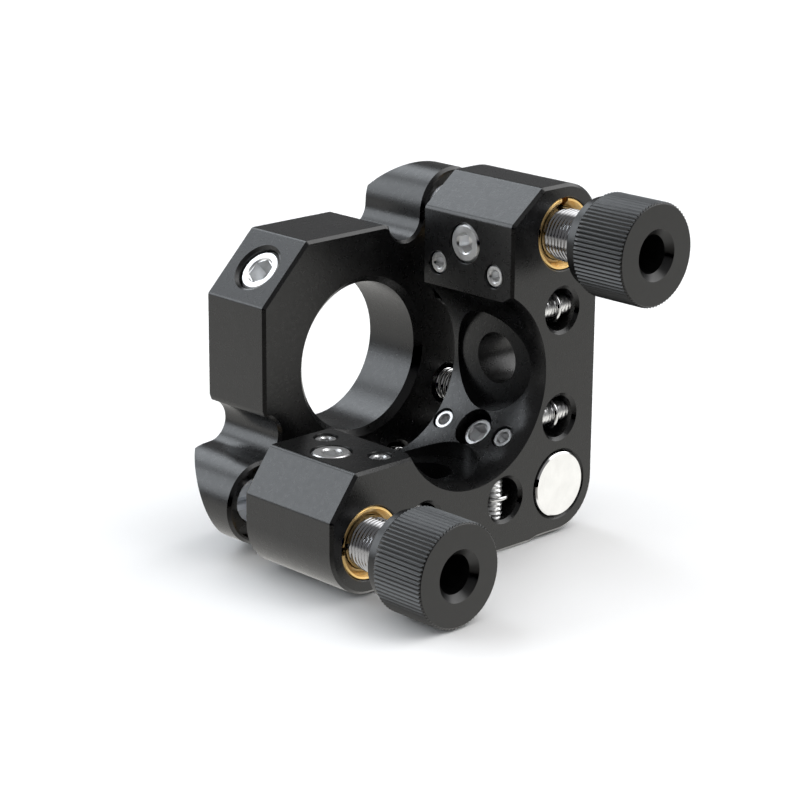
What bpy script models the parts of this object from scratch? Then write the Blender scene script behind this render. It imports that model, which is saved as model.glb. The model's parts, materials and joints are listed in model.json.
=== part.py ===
"""Kinematic mirror mount for a 12.7 mm optic: a rear frame, and a sprung front plate on three balls.

Shapes are drawn in plate coordinates, in metres: X to the right from the frame's left face, Y forward from
the frame's rear face, Z up from the frame's lower face. The root empty carries them to the model's origin,
which lies under the middle of the whole mount, on the plane of the mounting pad.
"""
from math import cos, hypot, pi, radians, sin, sqrt

import bmesh
import bpy
from mathutils import Matrix, Vector

MM = 0.001

# Rear frame: a square outline with its upper left quarter open, and a round opening behind the optic.
SIDE = 30.0 * MM
FRAME_T = 10.45 * MM
PAD_T = 0.2 * MM
PAD_LEFT, PAD_RIGHT, PAD_SLOPE = 8.0 * MM, 22.5 * MM, 0.9 * MM
AXIS = 4.2 * MM                     # adjuster and pivot axes, from the two nearest outer faces
BLOCK = 10.3 * MM                   # size of the blocks that hold the adjusters
BLOCK_CUT_LONG, BLOCK_CUT_SHORT = 3.5 * MM, 2.65 * MM
OPENING_X, OPENING_Z, OPENING_R = 15.7 * MM, 14.3 * MM, 7.7 * MM
OPENING_EDGE, OPENING_EDGE_DEPTH = 0.55 * MM, 1.1 * MM
EDGE, FRONT_EDGE = 0.25 * MM, 0.08 * MM      # broken edges

# Front plate.
GAP = 2.75 * MM
PLATE_T = 7.1 * MM
PLATE_REAR = FRAME_T + GAP
PLATE_FRONT = PLATE_REAR + PLATE_T
OPTIC_X, OPTIC_Z, OPTIC_R = 15.5 * MM, 14.5 * MM, 6.4 * MM
OPTIC_REAR_EDGE, OPTIC_FRONT_EDGE = 0.55 * MM, 1.1 * MM
CELL_INSET = 4.57 * MM              # the cell's left face from the frame's left face, and its top likewise
CELL_CUT = 4.82 * MM
CELL_END = 11.9 * MM                # height where the left face meets the notch
NOTCH_X, NOTCH_Z, NOTCH_R = 4.4 * MM, 9.6 * MM, 1.83 * MM
LOBE_R = 3.55 * MM
FRONT_TURN_R = 14.33 * MM           # the 45 degree turned edge of the front starts at this radius

# Kinematic contacts: all three ball centres lie in one plane.
BALL_R, BALL_Y = 1.4 * MM, 12.6 * MM
BALL_CUP_R, BALL_CUP_DEPTH = 1.45 * MM, 1.3 * MM
TIP_Y = 12.4 * MM                   # front end of the screws and of the pivot pin
SEAT_R, SEAT_T, SEAT_Y = 1.9 * MM, 1.6 * MM, 14.05 * MM
SEAT_CAVITY = 1.3 * MM              # half width of the cone's mouth and of the vee's mouth
CONTACT_GAP = 0.05 * MM
RECESS_R = 3.1 * MM

# Adjusters.
BUSH_R, BUSH_REAR = 3.0 * MM, 0.09 * MM
BUSH_EDGE = 0.53 * MM
BUSH_SLOT, BUSH_SLOT_DEPTH = 0.7 * MM, 1.3 * MM
SCREW_R = 2.2 * MM
FIT = 0.05 * MM                     # radial gap of every round fit
SCREW_END = -5.6 * MM
SCREW_SHANK_R, SCREW_SHOULDER = 1.9 * MM, -3.1 * MM
KNOB_R, KNOB_FACE, KNOB_STEP, KNOB_EDGE = 4.31 * MM, -9.9 * MM, -4.83 * MM, 0.12 * MM
COLLAR_R, COLLAR_END = 3.75 * MM, -3.4 * MM
KNOB_HOLE_R, KNOB_HOLE_EDGE = 1.6 * MM, 0.55 * MM

# Pivot pin.
PIN_R, PIN_REAR, PIN_SHOULDER, PIN_NOSE_R = 2.8 * MM, -0.12 * MM, 10.0 * MM, 2.1 * MM

# Clamp screws: one large between two small ones at each bushing and at the pivot pin.
LOCK_R, LOCK_LENGTH, LOCK_HEX = 1.65 * MM, 2.75 * MM, 1.5 * MM
PIVOT_LOCK_R, PIVOT_LOCK_HOLE_R = 1.4 * MM, 1.75 * MM
SMALL_R, SMALL_LENGTH, SMALL_HEX = 0.95 * MM, 2.5 * MM, 0.9 * MM
LOCK_ACROSS, SMALL_ACROSS = 5.0 * MM, 7.18 * MM
LOCK_Y, SMALL_Y = 5.55 * MM, (8.65 * MM, 2.2 * MM)
PIVOT_SMALL_Y = (9.2 * MM, 2.25 * MM)
PIVOT_LOCK_SUNK, LOCK_SUNK, SMALL_SUNK = 0.7 * MM, 0.03 * MM, 0.15 * MM

# Return springs, held by screws across the frame's holes and by dowels across the plate's holes.
SPRING_IN, SPRING_NEAR, SPRING_FAR = 4.28 * MM, 10.12 * MM, 19.37 * MM
SPRING_HOLE_R, SPRING_HOLE_EDGE = 1.8 * MM, 0.28 * MM
ANCHOR_R, ANCHOR_Y, ANCHOR_LENGTH, ANCHOR_SUNK = 0.95 * MM, 1.65 * MM, 6.3 * MM, 0.3 * MM
DOWEL_R, DOWEL_Y, DOWEL_LENGTH = 0.75 * MM, 15.6 * MM, 5.9 * MM
SPRING_POCKET = 4.4 * MM
WIRE_R, COIL_R, HOOK_R = 0.21 * MM, 1.27 * MM, 1.25 * MM
COIL_TURNS, COIL_START, COIL_END = 18, 3.3 * MM, 13.8 * MM

# Fixing holes for M4 cap screws, one through the base and one through the right side.
M4_R, HEAD_R, HEAD_FLOOR = 2.2 * MM, 4.3 * MM, 6.3 * MM
FIXING_Y, FIXING_ACROSS = 5.5 * MM, 14.5 * MM

# Screw that holds the optic.
OPTIC_SCREW_R, OPTIC_SCREW_LENGTH, OPTIC_SCREW_HEX = 1.95 * MM, 3.6 * MM, 2.0 * MM
OPTIC_SCREW_SUNK, OPTIC_TIP_R, OPTIC_TIP_LENGTH = 0.35 * MM, 1.2 * MM, 1.2 * MM

ALONG_X, ALONG_Y, ALONG_Z = Vector((1, 0, 0)), Vector((0, 1, 0)), Vector((0, 0, 1))
INWARD = Vector((1, 0, -1)).normalized()      # from the upper left corner towards the lower right one
PIVOT = Vector((SIDE - AXIS, BALL_Y, AXIS))
WELD = 0.002 * MM                   # slivers shorter than this are merged after a cut
PAST = 0.5 * MM                     # how far a cutter reaches past the face it enters

MATERIALS = {
    "anodised": ((0.030, 0.031, 0.033), 0.42, 0.6),
    "knob_black": ((0.022, 0.022, 0.023), 0.45, 0.5),
    "brass": ((0.80, 0.55, 0.22), 0.28, 1.0),
    "steel": ((0.62, 0.62, 0.62), 0.25, 1.0),
    "ball_steel": ((0.75, 0.75, 0.76), 0.08, 1.0),
    "spring_steel": ((0.60, 0.60, 0.61), 0.20, 1.0),
    "sapphire": ((0.75, 0.78, 0.82), 0.10, 0.0),
    "nylon": ((0.85, 0.85, 0.80), 0.50, 0.0),
}


def clear_scene():
    for item in list(bpy.data.objects):
        bpy.data.objects.remove(item, do_unlink=True)


def make_material(name):
    colour, roughness, metallic = MATERIALS[name]
    material = bpy.data.materials.new(name)
    material.use_nodes = True
    shader = material.node_tree.nodes["Principled BSDF"]
    shader.inputs["Base Color"].default_value = (*colour, 1.0)
    shader.inputs["Roughness"].default_value = roughness
    shader.inputs["Metallic"].default_value = metallic
    return material


def add_empty(name, point, parent=None):
    """An unrotated empty at a point in plate coordinates, or at the plate's own corner for the root."""
    empty = bpy.data.objects.new(name, None)
    empty["point"] = tuple(point)
    empty.empty_display_size = 2 * MM
    bpy.context.scene.collection.objects.link(empty)
    if parent:
        empty.parent = parent
        empty.location = Vector(point) - Vector(parent["point"])
    return empty


def add_object(name, mesh, parent, point, axis=ALONG_Z, across=None):
    """Places a mesh so that its local Z points along axis, and its local X along across if that is given."""
    item = bpy.data.objects.new(name, mesh)
    bpy.context.scene.collection.objects.link(item)
    item.parent = parent
    item.location = Vector(point) - Vector(parent["point"])
    item.rotation_mode = "QUATERNION"
    if across is None:
        item.rotation_quaternion = ALONG_Z.rotation_difference(axis)
    else:
        side = axis.cross(across)
        item.rotation_quaternion = Matrix((across, side, axis)).transposed().to_quaternion()
    return item


def to_mesh(bm, name):
    bmesh.ops.recalc_face_normals(bm, faces=bm.faces)
    mesh = bpy.data.meshes.new(name)
    bm.to_mesh(mesh)
    bm.free()
    return mesh


def turned_mesh(name, profile, count, ring=False):
    """A turned solid about Z from (radius, height) points; a ring's profile is a closed loop."""
    bm = bmesh.new()
    rows = []
    for radius, height in profile:
        if radius == 0:
            rows.append([bm.verts.new((0, 0, height))])
            continue
        angles = [2 * pi * i / count for i in range(count)]
        rows.append([bm.verts.new((radius * cos(a), radius * sin(a), height)) for a in angles])
    pairs = list(zip(rows, rows[1:]))
    if ring:
        pairs.append((rows[-1], rows[0]))
    for low, high in pairs:
        for i in range(count):
            j = (i + 1) % count
            if len(low) == 1:
                bm.faces.new((low[0], high[i], high[j]))
            elif len(high) == 1:
                bm.faces.new((low[i], low[j], high[0]))
            else:
                bm.faces.new((low[i], low[j], high[j], high[i]))
    if not ring:
        for row in (rows[0], rows[-1]):
            if len(row) > 1:
                bm.faces.new(row)
    return to_mesh(bm, name)


def prism_mesh(name, outline, low, high):
    """An outline of (x, z) points carried along Y from low to high."""
    return stacked_mesh(name, [(outline, low), (outline, high)])


def plate_mesh(name, outline, low, high, front_edge):
    """The same for a counterclockwise outline, with the edges of both its faces broken at 45 degrees."""
    rear, front = inset(outline, EDGE), inset(outline, front_edge)
    layers = [(rear, low), (outline, low + EDGE), (outline, high - front_edge), (front, high)]
    return stacked_mesh(name, layers)


def stacked_mesh(name, layers):
    bm = bmesh.new()
    rows = [[bm.verts.new((x, y, z)) for x, z in points] for points, y in layers]
    bm.faces.new(rows[0])
    bm.faces.new(rows[-1])
    for low, high in zip(rows, rows[1:]):
        for i in range(len(low)):
            j = (i + 1) % len(low)
            bm.faces.new((low[i], low[j], high[j], high[i]))
    return to_mesh(bm, name)


def inset(outline, distance):
    """Moves each side of a counterclockwise outline inwards by the same distance."""
    points = [Vector(point) for point in outline]
    moved = []
    for before, here, after in zip([points[-1]] + points, points, points[1:] + points[:1]):
        first = (here - before).normalized()
        second = (after - here).normalized()
        inward = Vector((-first.y, first.x)) + Vector((-second.y, second.x))
        moved.append(here + inward * (distance / (1 + first.dot(second))))
    return moved


def ball_mesh(name, radius):
    bm = bmesh.new()
    bmesh.ops.create_uvsphere(bm, u_segments=20, v_segments=12, radius=radius)
    return to_mesh(bm, name)


def arc(centre, radius, start, end, steps):
    """Points on an arc, with angles in degrees from +X towards +Z."""
    angles = [radians(start + (end - start) * i / steps) for i in range(steps + 1)]
    return [(centre[0] + radius * cos(a), centre[1] + radius * sin(a)) for a in angles]


def mirrored(points):
    """The same points on the other side of the diagonal through the upper left and lower right corners."""
    return [(SIDE - z, SIDE - x) for x, z in reversed(points)]


def shape(item, cutters, operation="DIFFERENCE"):
    """Cuts the item with each cutter, keeps the result as its mesh, and deletes the cutters."""
    for cutter in cutters:
        cutter.hide_render = True
        cutter.display_type = "WIRE"
        boolean = item.modifiers.new(cutter.name, "BOOLEAN")
        boolean.operation = operation
        boolean.solver = "EXACT"
        boolean.object = cutter
    bpy.context.view_layer.update()
    depsgraph = bpy.context.evaluated_depsgraph_get()
    result = bpy.data.meshes.new_from_object(item.evaluated_get(depsgraph))
    bm = bmesh.new()
    bm.from_mesh(result)
    bmesh.ops.remove_doubles(bm, verts=bm.verts, dist=WELD)
    bmesh.ops.dissolve_degenerate(bm, edges=bm.edges, dist=WELD)
    bm.to_mesh(result)
    bm.free()
    item.modifiers.clear()
    item.data = result
    for cutter in cutters:
        bpy.data.objects.remove(cutter, do_unlink=True)


def finish(item, material):
    item.data.materials.clear()
    item.data.materials.append(material)
    if item.type == "MESH":
        item.data.shade_smooth()
        item.data.set_sharp_from_angle(angle=radians(30))


def drill(parent, point, axis, radius, depth, count, edge=0.0):
    """A cutter for a round hole from point along axis, with a 45 degree edge where it enters."""
    profile = [(0, -PAST), (radius + edge + PAST if edge else radius, -PAST)]
    if edge:
        profile.append((radius, edge))
    profile += [(radius, depth), (0, depth)]
    return add_object("drill", turned_mesh("drill", profile, count), parent, point, axis)


def hex_cutter(parent, point, axis, across_flats, depth):
    corner = across_flats / sqrt(3)
    profile = [(corner, -PAST), (corner, depth)]
    return add_object("hex", turned_mesh("hex", profile, 6), parent, point, axis)


def grub_screw(name, parent, point, axis, radius, length, hexagon, material):
    """A socket set screw whose socket end is at point and which runs along axis."""
    edge = radius * 0.12
    profile = [(radius - edge, 0), (radius, edge), (radius, length - edge), (radius - edge, length)]
    screw = add_object(name, turned_mesh(name, profile, 20), parent, point, axis)
    shape(screw, [hex_cutter(parent, point, axis, hexagon, length * 0.45)])
    finish(screw, material)
    return screw


def frame_outline():
    """The rear frame's outline, counterclockwise, with the mounting pad on its lower edge."""
    pad = [
        (PAD_LEFT - PAD_SLOPE, 0), (PAD_LEFT, -PAD_T), (PAD_RIGHT, -PAD_T), (PAD_RIGHT + PAD_SLOPE, 0),
    ]
    lower_left = arc((AXIS, AXIS), AXIS, 180, 270, 8)
    lower_right = arc((SIDE - AXIS, AXIS), AXIS, 270, 360, 8)
    upper_right = arc((SIDE - AXIS, SIDE - AXIS), AXIS, 0, 90, 8)
    lower_block = [(BLOCK_CUT_SHORT, BLOCK), (0, BLOCK - BLOCK_CUT_LONG)]
    inner_corner = [(SIDE - BLOCK, BLOCK)]
    return lower_left + pad + lower_right + upper_right + mirrored(lower_block) + inner_corner + lower_block


def plate_outline():
    """The front plate's outline: the optic's cell at the upper left, two notches and three lobes."""
    cell = [(CELL_INSET, SIDE - CELL_INSET - CELL_CUT), (CELL_INSET, CELL_END)]
    notch = arc((NOTCH_X, NOTCH_Z), NOTCH_R, 78, -90, 12)
    lobe = arc((AXIS, AXIS), LOBE_R, 90, 270, 14)
    pivot_lobe = arc((SIDE - AXIS, AXIS), LOBE_R, 270, 360, 8)
    half = cell + notch + lobe
    return half + pivot_lobe + mirrored(half)


def spring_places():
    """Each spring's (x, z) and the direction of the pins across it."""
    right = [(SIDE - SPRING_IN, z, ALONG_X) for z in (SPRING_FAR, SPRING_NEAR)]
    below = [(x, SPRING_IN, ALONG_Z) for x in (SPRING_FAR, SPRING_NEAR)]
    return right + below


def clamp_places():
    """For each of the three clamps: name, outward face point of its screws at y, direction, sunk depths."""
    return {
        "lower": (lambda across, y: Vector((across, y, BLOCK)), -ALONG_Z, LOCK_SUNK),
        "upper": (lambda across, y: Vector((SIDE - BLOCK, y, SIDE - across)), ALONG_X, LOCK_SUNK),
        "pivot": (lambda across, y: Vector((OPENING_X, y, OPENING_Z)) + INWARD * OPENING_R, INWARD,
                  PIVOT_LOCK_SUNK),
    }


def build_frame(root, materials):
    outline = plate_mesh("rear_frame", frame_outline(), 0, FRAME_T, EDGE)
    frame = add_object("rear_frame", outline, root, (0, 0, 0))
    bore = Vector((OPENING_X, 0, OPENING_Z))
    mouth = OPENING_R + OPENING_EDGE * (1 + PAST / OPENING_EDGE_DEPTH)
    opening = [(0, -PAST), (mouth, -PAST), (OPENING_R, OPENING_EDGE_DEPTH), (OPENING_R, FRAME_T + PAST),
               (0, FRAME_T + PAST)]
    cutters = [add_object("opening", turned_mesh("opening", opening, 72), root, bore, ALONG_Y)]
    through = FRAME_T + PAST
    for x, z in ((AXIS, AXIS), (SIDE - AXIS, SIDE - AXIS)):
        cutters.append(drill(root, (x, 0, z), ALONG_Y, BUSH_R + FIT, through, 40))
    cutters.append(drill(root, (SIDE - AXIS, 0, AXIS), ALONG_Y, PIN_R + FIT, through, 40, EDGE))
    for x, z, pin in spring_places():
        cutters.append(drill(root, (x, 0, z), ALONG_Y, SPRING_HOLE_R, through, 24, SPRING_HOLE_EDGE))
        mouth = Vector((x, ANCHOR_Y, z))
        mouth[0 if pin is ALONG_X else 2] = SIDE if pin is ALONG_X else 0
        inward = -pin if pin is ALONG_X else pin
        depth = ANCHOR_SUNK + ANCHOR_LENGTH + 2 * FIT
        cutters.append(drill(root, mouth, inward, ANCHOR_R + FIT, depth, 12))
    for face, inward, sunk in clamp_places().values():
        pivot = inward is INWARD
        lock_r = PIVOT_LOCK_HOLE_R if pivot else LOCK_R + FIT
        lock_depth = sunk + LOCK_LENGTH + 2 * FIT
        cutters.append(drill(root, face(LOCK_ACROSS, LOCK_Y), inward, lock_r, lock_depth, 20))
        for y in (PIVOT_SMALL_Y if pivot else SMALL_Y):
            depth = SMALL_SUNK + SMALL_LENGTH + 2 * FIT
            cutters.append(drill(root, face(SMALL_ACROSS, y), inward, SMALL_R + FIT, depth, 16))
    side = Vector((SIDE - HEAD_FLOOR, FIXING_Y, FIXING_ACROSS))
    base = Vector((SIDE - FIXING_ACROSS, FIXING_Y, HEAD_FLOOR))
    for floor, out in ((side, ALONG_X), (base, -ALONG_Z)):
        head = [(0, 0), (HEAD_R, 0), (HEAD_R, -HEAD_FLOOR), (0, -HEAD_FLOOR)]
        cutters.append(add_object("head", turned_mesh("head", head, 40), root, floor, out))
        cutters.append(drill(root, floor, out, M4_R, HEAD_FLOOR + 2 * PAST, 24))
    shape(frame, cutters)
    finish(frame, materials["anodised"])


def build_plate(tilt, materials):
    outline = plate_mesh("front_plate", plate_outline(), PLATE_REAR, PLATE_FRONT, FRONT_EDGE)
    plate = add_object("front_plate", outline, tilt, (0, 0, 0))
    low, high = PLATE_REAR - PAST, PLATE_FRONT + PAST
    cone = [(0, low), (FRONT_TURN_R + PLATE_FRONT - low, low), (FRONT_TURN_R - PAST, high), (0, high)]
    optic = Vector((OPTIC_X, 0, OPTIC_Z))
    turned = add_object("turned", turned_mesh("turned", cone, 90), tilt, optic, ALONG_Y)
    shape(plate, [turned], "INTERSECT")
    rear, front = OPTIC_REAR_EDGE, OPTIC_FRONT_EDGE
    bore = [(0, low), (OPTIC_R + rear + PAST, low), (OPTIC_R, PLATE_REAR + rear),
            (OPTIC_R, PLATE_FRONT - front), (OPTIC_R + front + PAST, high), (0, high)]
    cutters = [add_object("bore", turned_mesh("bore", bore, 64), tilt, optic, ALONG_Y)]
    for x, z in contact_places().values():
        recess = SEAT_Y - PLATE_REAR
        cutters.append(drill(tilt, (x, PLATE_REAR, z), ALONG_Y, RECESS_R, recess, 32))
        cutters.append(drill(tilt, (x, SEAT_Y, z), ALONG_Y, SEAT_R + FIT, SEAT_T + FIT, 24))
    for x, z, pin in spring_places():
        cutters.append(drill(tilt, (x, PLATE_REAR, z), ALONG_Y, SPRING_HOLE_R, SPRING_POCKET, 24,
                             SPRING_HOLE_EDGE))
        mouth, inward = dowel_place(x, z, pin, 0)
        cutters.append(drill(tilt, mouth, inward, DOWEL_R + FIT, DOWEL_LENGTH + 2 * FIT, 12))
    middle = Vector((CELL_INSET + CELL_CUT / 2, 0, SIDE - CELL_INSET - CELL_CUT / 2))
    middle.y = PLATE_REAR + PLATE_T / 2
    reach = hypot(OPTIC_X - middle.x, OPTIC_Z - middle.z)
    cutters.append(drill(tilt, middle, INWARD, OPTIC_SCREW_R + FIT, reach, 24, EDGE))
    shape(plate, cutters)
    finish(plate, materials["anodised"])
    head = middle + INWARD * OPTIC_SCREW_SUNK
    grub_screw("optic_set_screw", tilt, head, INWARD, OPTIC_SCREW_R, OPTIC_SCREW_LENGTH,
               OPTIC_SCREW_HEX, materials["steel"])
    foot = head + INWARD * (OPTIC_SCREW_LENGTH + FIT)
    tip = [(OPTIC_TIP_R, 0), (OPTIC_TIP_R, OPTIC_TIP_LENGTH * 0.8),
           (OPTIC_TIP_R * 0.8, OPTIC_TIP_LENGTH)]
    nylon = add_object("optic_nylon_tip", turned_mesh("optic_nylon_tip", tip, 16), tilt, foot, INWARD)
    finish(nylon, materials["nylon"])


def contact_places():
    """The (x, z) of the two adjusters' seats and of the pivot's seat."""
    return {"lower": (AXIS, AXIS), "upper": (SIDE - AXIS, SIDE - AXIS), "pivot": (SIDE - AXIS, AXIS)}


def dowel_place(x, z, pin, sunk):
    """Where a dowel enters the plate's right or lower edge, and the way it points."""
    edge = AXIS - LOBE_R
    if pin is ALONG_X:
        return Vector((SIDE - edge - sunk, DOWEL_Y, z)), -ALONG_X
    return Vector((x, DOWEL_Y, edge + sunk)), ALONG_Z


def build_seats(tilt, materials):
    """A cone for the pivot, a vee for the lower adjuster and a flat for the upper one."""
    places = contact_places()
    flat = [(SEAT_R, 0), (SEAT_R, SEAT_T)]
    cavity_y = BALL_Y + BALL_R * sqrt(2) + CONTACT_GAP       # where the cone's and the vee's faces meet
    mouth = SEAT_Y - PAST
    names = {"pivot": "pivot_cone_seat", "lower": "lower_vee_seat", "upper": "upper_flat_seat"}
    for key, name in names.items():
        x, z = places[key]
        seat = add_object(name, turned_mesh(name, flat, 24), tilt, (x, SEAT_Y, z), ALONG_Y)
        if key == "pivot":
            cone = [(cavity_y - mouth, 0), (0, cavity_y - mouth)]
            cutter = add_object("cone", turned_mesh("cone", cone, 24), tilt, (x, mouth, z), ALONG_Y)
            shape(seat, [cutter])
        if key == "lower":
            half = cavity_y - mouth
            wedge = prism_mesh("vee", [(-half, 0), (half, 0), (0, half)], -2 * SEAT_R, 2 * SEAT_R)
            cutter = add_object("vee", wedge, tilt, (x, mouth, z), ALONG_Y, -ALONG_Z)
            shape(seat, [cutter])
        finish(seat, materials["sapphire"])


def build_adjuster(name, x, z, slot_axis, root, materials):
    """A bushing in the frame, and a screw with its ball tip and knob, each on the adjuster's axis."""
    profile = [(BUSH_R, 0), (BUSH_R, FRAME_T - BUSH_REAR - FIT), (SCREW_R + FIT, FRAME_T - BUSH_REAR - FIT),
               (SCREW_R + FIT, BUSH_EDGE), (SCREW_R + FIT + BUSH_EDGE, 0)]
    bush = add_object(f"{name}_bushing", turned_mesh("bushing", profile, 48, ring=True), root,
                      (x, BUSH_REAR, z), ALONG_Y)
    far = BUSH_R + PAST
    slot = [(-BUSH_SLOT / 2, 0), (BUSH_SLOT / 2, 0), (BUSH_SLOT / 2, far), (-BUSH_SLOT / 2, far)]
    slot_mesh = prism_mesh("slot", slot, -BUSH_SLOT_DEPTH, PAST)
    slot_side = slot_axis.cross(ALONG_Y)
    cutter = add_object("slot", slot_mesh, root, (x, BUSH_REAR, z), slot_axis, slot_side)
    shape(bush, [cutter])
    finish(bush, materials["brass"])

    axis_empty = add_empty(f"{name}_axis", (x, 0, z), root)
    screw_profile = [(SCREW_SHANK_R, SCREW_END), (SCREW_SHANK_R, SCREW_SHOULDER), (SCREW_R, SCREW_SHOULDER),
                     (SCREW_R, TIP_Y - EDGE), (SCREW_R - EDGE, TIP_Y)]
    screw = add_object(f"{name}_adjuster_screw", turned_mesh("adjuster", screw_profile, 32), axis_empty,
                       (x, 0, z), ALONG_Y)
    cup = drill(axis_empty, (x, TIP_Y, z), -ALONG_Y, BALL_CUP_R, BALL_CUP_DEPTH, 24)
    socket = hex_cutter(axis_empty, (x, SCREW_END, z), ALONG_Y, OPTIC_SCREW_HEX, OPTIC_SCREW_HEX)
    shape(screw, [cup, socket])
    finish(screw, materials["steel"])
    ball = add_object(f"{name}_ball_tip", ball_mesh("ball_tip", BALL_R), axis_empty, (x, BALL_Y, z), ALONG_Y)
    finish(ball, materials["ball_steel"])

    depth = SCREW_END - 2 * FIT
    inner = [(KNOB_HOLE_R + KNOB_HOLE_EDGE, KNOB_FACE), (KNOB_R - KNOB_EDGE, KNOB_FACE),
             (KNOB_R, KNOB_FACE + KNOB_EDGE), (KNOB_R, KNOB_STEP - KNOB_EDGE),
             (KNOB_R - KNOB_EDGE, KNOB_STEP), (COLLAR_R, KNOB_STEP),
             (COLLAR_R, COLLAR_END - EDGE), (COLLAR_R - EDGE, COLLAR_END),
             (SCREW_SHANK_R + FIT, COLLAR_END), (SCREW_SHANK_R + FIT, depth), (KNOB_HOLE_R, depth),
             (KNOB_HOLE_R, KNOB_FACE + KNOB_HOLE_EDGE)]
    knob = add_object(f"{name}_knob", turned_mesh("knob", inner, 48, ring=True), axis_empty, (x, 0, z),
                      ALONG_Y)
    finish(knob, materials["knob_black"])


def build_pivot(root, tilt, materials):
    x, z = SIDE - AXIS, AXIS
    profile = [(PIN_R - EDGE, PIN_REAR), (PIN_R, PIN_REAR + EDGE), (PIN_R, PIN_SHOULDER - EDGE),
               (PIN_R - EDGE, PIN_SHOULDER), (PIN_NOSE_R, PIN_SHOULDER), (PIN_NOSE_R, TIP_Y - EDGE),
               (PIN_NOSE_R - EDGE, TIP_Y)]
    pin = add_object("pivot_pin", turned_mesh("pivot_pin", profile, 40), root, (x, 0, z), ALONG_Y)
    shape(pin, [drill(root, (x, TIP_Y, z), -ALONG_Y, BALL_CUP_R, BALL_CUP_DEPTH, 24)])
    finish(pin, materials["ball_steel"])
    ball = add_object("pivot_ball", ball_mesh("pivot_ball", BALL_R), tilt, PIVOT, ALONG_Y)
    finish(ball, materials["ball_steel"])


def build_clamp_screws(root, materials):
    for name, (face, inward, sunk) in clamp_places().items():
        point = face(LOCK_ACROSS, LOCK_Y) + inward * sunk
        radius = PIVOT_LOCK_R if name == "pivot" else LOCK_R
        grub_screw(f"{name}_lock_screw", root, point, inward, radius, LOCK_LENGTH, LOCK_HEX,
                   materials["steel"])
        for i, y in enumerate(PIVOT_SMALL_Y if name == "pivot" else SMALL_Y, 1):
            point = face(SMALL_ACROSS, y) + inward * SMALL_SUNK
            grub_screw(f"{name}_set_screw_{i}", root, point, inward, SMALL_R, SMALL_LENGTH, SMALL_HEX,
                       materials["steel"])


def spring_path():
    """The wire's centre line along local Z, from the frame's hook through the coil to the plate's hook."""
    rear_centre = ANCHOR_Y
    front_centre = DOWEL_Y - (HOOK_R - WIRE_R - DOWEL_R - 2 * FIT)
    hook_angles = [radians(step) for step in range(-140, 91, 23)]
    rear = [(0, HOOK_R * sin(a), rear_centre - HOOK_R * cos(a)) for a in hook_angles]
    front = [(0, HOOK_R * sin(a), front_centre + HOOK_R * cos(a)) for a in reversed(hook_angles)]
    coil = []
    steps = COIL_TURNS * 8
    for i in range(steps + 1):
        angle = pi / 2 + 2 * pi * i / 8
        height = COIL_START + (COIL_END - COIL_START) * i / steps
        coil.append((COIL_R * cos(angle), COIL_R * sin(angle), height))
    return rear + coil + front


def build_springs(root, tilt, materials):
    path = spring_path()
    for number, (x, z, pin) in enumerate(spring_places(), 1):
        curve = bpy.data.curves.new(f"return_spring_{number}", "CURVE")
        curve.dimensions = "3D"
        curve.bevel_depth = WIRE_R
        curve.bevel_resolution = 0
        curve.use_fill_caps = True
        spline = curve.splines.new("POLY")
        spline.points.add(len(path) - 1)
        for vertex, position in zip(spline.points, path):
            vertex.co = (*position, 1)
        spring = add_object(curve.name, curve, root, (x, 0, z), ALONG_Y, pin)
        finish(spring, materials["spring_steel"])
        mouth = Vector((x, ANCHOR_Y, z))
        if pin is ALONG_X:
            mouth.x, inward = SIDE - ANCHOR_SUNK, -ALONG_X
        else:
            mouth.z, inward = ANCHOR_SUNK, ALONG_Z
        grub_screw(f"spring_screw_{number}", root, mouth, inward, ANCHOR_R, ANCHOR_LENGTH, SMALL_HEX,
                   materials["steel"])
        mouth, inward = dowel_place(x, z, pin, FIT)
        profile = [(DOWEL_R, 0), (DOWEL_R, DOWEL_LENGTH)]
        dowel = add_object(f"spring_dowel_{number}", turned_mesh("dowel", profile, 16), tilt, mouth, inward)
        finish(dowel, materials["steel"])


def main():
    clear_scene()
    materials = {name: make_material(name) for name in MATERIALS}
    root = add_empty("mount", (0, 0, 0))
    middle_y = (KNOB_FACE + PLATE_FRONT) / 2
    root.location = (-SIDE / 2, -middle_y, PAD_T)
    tilt = add_empty("tilt_pivot", PIVOT, root)
    build_frame(root, materials)
    build_plate(tilt, materials)
    build_seats(tilt, materials)
    build_adjuster("lower", AXIS, AXIS, -ALONG_X, root, materials)
    build_adjuster("upper", SIDE - AXIS, SIDE - AXIS, ALONG_Z, root, materials)
    build_pivot(root, tilt, materials)
    build_clamp_screws(root, materials)
    build_springs(root, tilt, materials)


main()
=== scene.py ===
"""The looks of the kinematic mirror mount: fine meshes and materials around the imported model.

Shapes are drawn in plate coordinates, in metres: X to the right from the frame's left face, Y forward from
the frame's rear face, Z up from the frame's lower face. plate_point() carries them into the model's frame.
"""
import json
from math import cos, hypot, pi, radians, sin, sqrt, tan

import bmesh
import bpy
from mathutils import Matrix, Vector


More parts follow.
